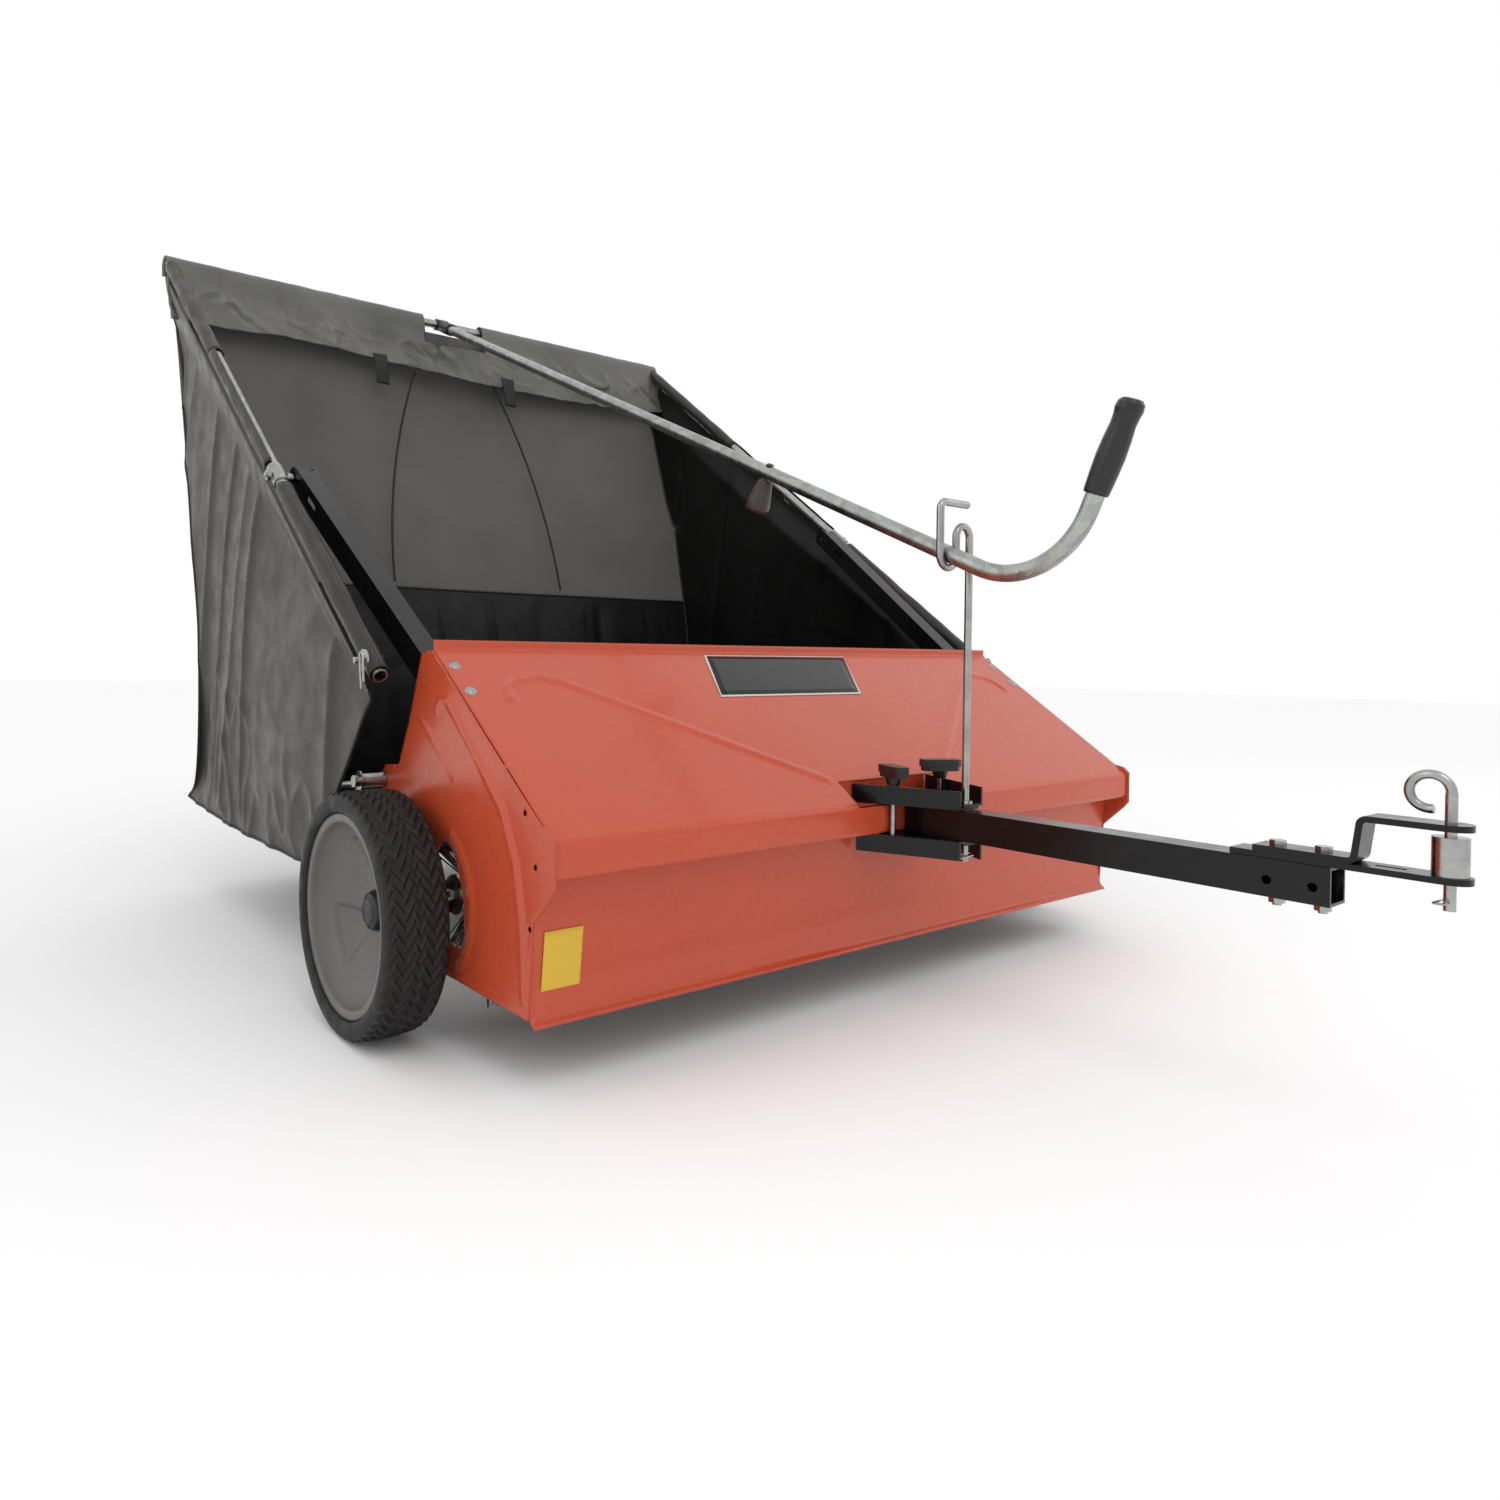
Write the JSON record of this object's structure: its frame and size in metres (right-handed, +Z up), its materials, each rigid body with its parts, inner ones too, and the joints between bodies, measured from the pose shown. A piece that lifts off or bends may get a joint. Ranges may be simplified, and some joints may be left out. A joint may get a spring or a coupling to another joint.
{
  "type": "tow-behind lawn sweeper",
  "caption": "Two-wheeled sweeper towed behind a garden tractor: wheels drive a brush that throws leaves into a tipping fabric hopper with a pull handle.",
  "frame": {"origin": "on the ground under the middle of the wheel axle", "axes": "+X across the machine along the wheel axle, -Y forward along the hitch, +Y to the hopper, +Z up"},
  "size_m": [1.356, 2.0155, 1.2815],
  "materials": {
    "orange_paint": "satin",
    "black_paint": "gloss",
    "galvanised": "satin",
    "zinc": "bright",
    "tyre": "matte",
    "rim_grey": "satin",
    "gear_plastic": "matte",
    "cap_black": "gloss",
    "gear_steel": "satin",
    "bristle": "matte",
    "knob_black": "matte",
    "knob_brown": "satin",
    "grip_rubber": "matte",
    "vinyl": "satin",
    "vinyl_light": "satin"
  },
  "bodies": {
    "housing": {"front_cover": "orange_paint", "side_plate_left": "orange_paint", "side_plate_right": "orange_paint", "rear_tie_tube": "galvanised", "tie_tube_bolts": "zinc", "cover_bolts": "zinc", "support_arm_left": "black_paint", "support_arm_right": "black_paint", "wheel_axle_left": "zinc", "wheel_axle_right": "zinc", "hitch_bracket_upper_left": "black_paint", "hitch_bracket_upper_right": "black_paint", "hitch_bracket_lower_left": "black_paint", "hitch_bracket_lower_right": "black_paint", "clamp_bolts": "zinc", "hitch_tube": "black_paint", "hitch_strap_lower": "black_paint", "hitch_strap_upper": "black_paint", "hitch_strap_bolts": "zinc", "hitch_spacers": "zinc", "rear_hitch_pin": "zinc", "rear_pin_clip": "zinc"},
    "brush_carrier": {"brush_carrier_left": "galvanised", "brush_carrier_right": "galvanised", "brush_bearings": "gear_plastic"},
    "wheel_left": {"tyre_left": "tyre", "wheel_rim_left": "rim_grey", "ring_gear_left": "gear_plastic", "hub_cap_left": "cap_black"},
    "wheel_right": {"tyre_right": "tyre", "wheel_rim_right": "rim_grey", "ring_gear_right": "gear_plastic", "hub_cap_right": "cap_black"},
    "pinion_left": {"drive_pinion_left": "gear_steel"},
    "pinion_right": {"drive_pinion_right": "gear_steel"},
    "brush": {"brush_shaft": "zinc", "brush_core": "gear_plastic", "brush_bristles": "bristle"},
    "hopper": {"hopper_side_tube_left": "galvanised", "hopper_side_tube_right": "galvanised", "hopper_rear_tube": "galvanised", "hopper_lower_frame": "galvanised", "hopper_bag": "vinyl", "bag_flap": "vinyl_light", "bow_rods": "black_paint", "pivot_clip_left": "galvanised", "pivot_clip_right": "galvanised", "pivot_bolts": "zinc", "hopper_front_pins": "zinc"},
    "dump_handle": {"handle_clamp": "knob_black", "handle_tube_rear": "galvanised", "handle_tube_front": "galvanised", "handle_grip": "grip_rubber"},
    "handle_knob": {"handle_knob": "knob_brown"},
    "clamp_knob_left": {"clamp_knob_left": "knob_black"},
    "clamp_knob_right": {"clamp_knob_right": "knob_black"},
    "hitch_pin": {"hitch_pin": "zinc", "hitch_pin_clip": "zinc"},
    "rest_rod": {"handle_rest_rod": "zinc", "rest_rod_clip": "zinc"}
  },
  "joints": [
    {"name": "brush_height", "type": "hinge", "parent": "housing", "child": "brush_carrier", "pos_m": [0, 0, 0.15], "axis": [-1, 0, 0], "range_deg": [-21, 22]},
    {"name": "wheel_left_roll", "type": "hinge", "parent": "brush_carrier", "child": "wheel_left", "pos_m": [-0.642, 0, 0.15], "axis": [1, 0, 0], "continuous": true},
    {"name": "wheel_right_roll", "type": "hinge", "parent": "brush_carrier", "child": "wheel_right", "pos_m": [0.642, 0, 0.15], "axis": [1, 0, 0], "continuous": true},
    {"name": "pinion_left_spin", "type": "hinge", "parent": "brush_carrier", "child": "pinion_left", "pos_m": [-0.622, -0.09701, 0.18152], "axis": [1, 0, 0], "continuous": true},
    {"name": "pinion_right_spin", "type": "hinge", "parent": "brush_carrier", "child": "pinion_right", "pos_m": [0.622, -0.09701, 0.18152], "axis": [1, 0, 0], "continuous": true},
    {"name": "brush_spin", "type": "hinge", "parent": "brush_carrier", "child": "brush", "pos_m": [0, -0.09701, 0.18152], "axis": [1, 0, 0], "continuous": true},
    {"name": "hopper_tip", "type": "hinge", "parent": "housing", "child": "hopper", "pos_m": [0, 0.375, 0.73613], "axis": [1, 0, 0], "range_deg": [0, 90]},
    {"name": "handle_swing", "type": "hinge", "parent": "hopper", "child": "dump_handle", "pos_m": [-0.014, 1.082, 1.268], "axis": [1, 0, 0], "range_deg": [-90, 0]},
    {"name": "handle_knob_turn", "type": "hinge", "parent": "dump_handle", "child": "handle_knob", "pos_m": [-0.03777, -0.07598, 0.75008], "axis": [-0.0084, -0.4081, 0.9129], "continuous": true},
    {"name": "clamp_knob_left_turn", "type": "hinge", "parent": "housing", "child": "clamp_knob_left", "pos_m": [-0.05, -0.329, 0.3], "axis": [0, 0, 1], "continuous": true},
    {"name": "clamp_knob_right_turn", "type": "hinge", "parent": "housing", "child": "clamp_knob_right", "pos_m": [0.05, -0.329, 0.3], "axis": [0, 0, 1], "continuous": true},
    {"name": "hitch_pin_lift", "type": "slide", "parent": "housing", "child": "hitch_pin", "axis": [0, 0, 1], "range_m": [0, 0.014]},
    {"name": "rest_rod_turn", "type": "hinge", "parent": "housing", "child": "rest_rod", "pos_m": [0, -0.404, 0.3], "axis": [0, 0, 1], "range_deg": [-12, 0]}
  ],
  "couplings": [
    {"joint": "pinion_left_spin", "follows": "wheel_left_roll", "ratio": 5.6364},
    {"joint": "brush_spin", "follows": "wheel_left_roll", "ratio": 5.6364},
    {"joint": "pinion_right_spin", "follows": "wheel_right_roll", "ratio": 5.6364},
    {"joint": "handle_swing", "follows": "hopper_tip", "ratio": -1}
  ]
}
